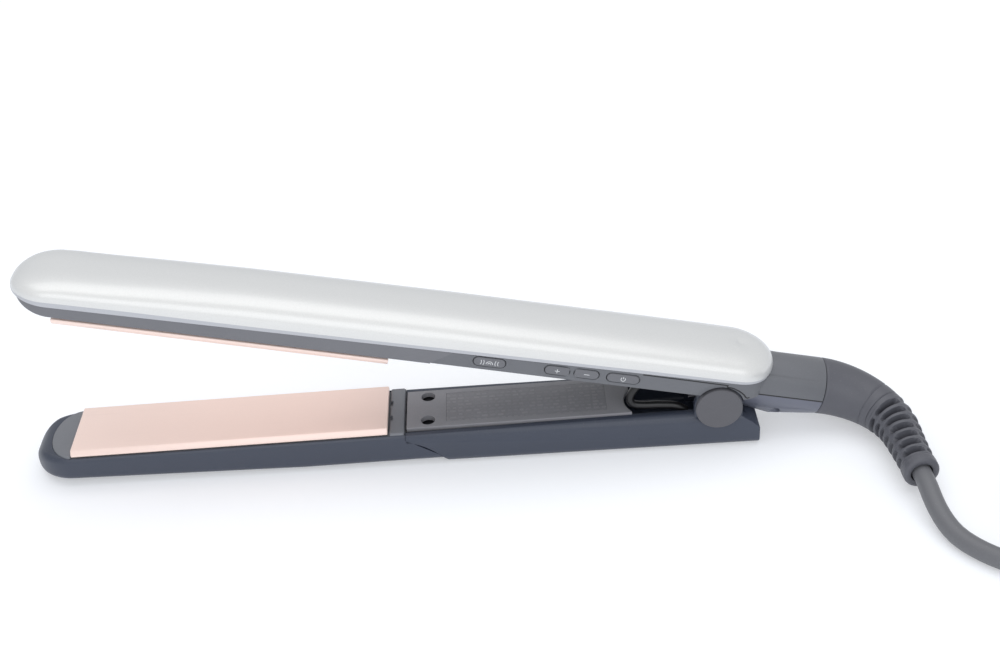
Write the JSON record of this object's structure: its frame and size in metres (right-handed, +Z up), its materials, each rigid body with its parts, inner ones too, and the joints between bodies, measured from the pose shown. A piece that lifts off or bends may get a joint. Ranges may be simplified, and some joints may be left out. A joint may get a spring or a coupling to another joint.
{
  "type": "hair straightener",
  "caption": "Slim hair straightener with two hinged arms, floating ceramic plates, side buttons, a rear hinge lock and a swivelling mains lead folded into a tied hank.",
  "frame": {"origin": "on the flat underside of the lower arm, straight below the hinge pin", "axes": "+X along the arms from the nose to the lead; +Y across, away from the side with the buttons; +Z up"},
  "size_m": [0.5815, 0.1136, 0.0817],
  "materials": {
    "pearl_cover": "pearl silver lacquer over moulded plastic",
    "heat_frame": "fine-textured heat-resistant plastic, dark grey",
    "handle_plastic": "satin moulded plastic, charcoal",
    "lower_plastic": "soft-touch moulded plastic, blue-black",
    "inner_face": "fine-grained moulded plastic, dark grey",
    "ceramic_plate": "satin ceramic coating, pale pink",
    "heater_ceramic": "bare ceramic",
    "sensor": "glass-fibre sleeved",
    "silicone": "soft matt silicone",
    "circuit_board": "green board with copper pads",
    "board_part": "moulded electronic parts",
    "button_plastic": "satin plastic with light symbols",
    "lamp": "clear red",
    "bright_steel": "plain turned steel",
    "spring_steel": "drawn wire",
    "cap_plastic": "satin plastic, dark grey",
    "boot_rubber": "satin flexible moulding, charcoal",
    "sleeve": "satin sleeve, black",
    "lead_insulation": "heat-resistant lead insulation",
    "cord": "satin mains lead, charcoal",
    "tie": "woven strap, black",
    "plug": "moulded plug, charcoal",
    "plug_pin": "nickel-plated brass",
    "rating_foil": "plain dark foil"
  },
  "bodies": {
    "upper_arm": {"upper_shell": "pearl_cover", "upper_front_frame": "heat_frame", "upper_handle_frame": "handle_plastic", "upper_float_pads": "silicone", "control_board": "circuit_board", "board_parts": "board_part", "tact_switches": "board_part", "status_light": "lamp", "rear_housing": "handle_plastic", "housing_screws": "bright_steel", "upper_leads": "lead_insulation", "cord_tube": "cord", "cord_hank": "cord", "cord_tie": "tie", "cord_tail": "cord", "plug_body": "plug", "plug_pins": "plug_pin"},
    "lower_arm": {"lower_front_shell": "lower_plastic", "lower_front_frame": "heat_frame", "lower_handle_shell": "lower_plastic", "lower_inner_cover": "inner_face", "cover_screws": "bright_steel", "rating_plate": "rating_foil", "lower_float_pads": "silicone", "lower_leads": "lead_insulation", "hinge_pin": "bright_steel", "hinge_spring": "spring_steel", "hinge_cap_front": "cap_plastic", "hinge_cap_back": "cap_plastic", "lead_loop": "sleeve"},
    "upper_plate_float": {"upper_plate": "ceramic_plate", "upper_heater": "heater_ceramic", "upper_thermal_fuse": "sensor"},
    "lower_plate_float": {"lower_plate": "ceramic_plate", "lower_heater": "heater_ceramic", "lower_thermistor": "sensor"},
    "boost": {"boost_button": "button_plastic"},
    "plus": {"plus_button": "button_plastic"},
    "minus": {"minus_button": "button_plastic"},
    "power": {"power_button": "button_plastic"},
    "lock_slider": {"hinge_lock": "cap_plastic"},
    "cord_swivel": {"swivel_barrel": "cap_plastic", "strain_relief": "boot_rubber"}
  },
  "joints": [
    {"name": "arm_hinge", "type": "hinge", "parent": "upper_arm", "child": "lower_arm", "pos_m": [0, 0, 0.0171], "axis": [0, 1, 0], "range_deg": [0, 13.55], "stiffness_Nm_per_rad": 0.9, "springref_deg": -20.05, "deforming": ["hinge_spring", "lead_loop"]},
    {"name": "upper_plate_press", "type": "slide", "parent": "upper_arm", "child": "upper_plate_float", "axis": [0.2224, 0, 0.975], "range_m": [0, 0.0008], "stiffness_N_per_m": 2500, "springref_m": -0.0006, "deforming": ["upper_float_pads"]},
    {"name": "lower_plate_press", "type": "slide", "parent": "lower_arm", "child": "lower_plate_float", "axis": [0.0131, 0, -0.9999], "range_m": [0, 0.0008], "stiffness_N_per_m": 2500, "springref_m": -0.0006, "deforming": ["lower_float_pads"]},
    {"name": "boost_press", "type": "slide", "parent": "upper_arm", "child": "boost", "axis": [0, 1, 0], "range_m": [0, 0.0006], "stiffness_N_per_m": 300, "springref_m": -0.002},
    {"name": "plus_press", "type": "slide", "parent": "upper_arm", "child": "plus", "axis": [0, 1, 0], "range_m": [0, 0.0006], "stiffness_N_per_m": 300, "springref_m": -0.002},
    {"name": "minus_press", "type": "slide", "parent": "upper_arm", "child": "minus", "axis": [0, 1, 0], "range_m": [0, 0.0006], "stiffness_N_per_m": 300, "springref_m": -0.002},
    {"name": "power_press", "type": "slide", "parent": "upper_arm", "child": "power", "axis": [0, 1, 0], "range_m": [0, 0.0006], "stiffness_N_per_m": 300, "springref_m": -0.002},
    {"name": "lock_slide", "type": "slide", "parent": "upper_arm", "child": "lock_slider", "axis": [-0.975, 0, 0.2224], "range_m": [0, 0.004]},
    {"name": "cord_swivel_turn", "type": "hinge", "parent": "upper_arm", "child": "cord_swivel", "pos_m": [0.00104, 0, 0.02168], "axis": [0.975, 0, -0.2224], "continuous": true}
  ]
}
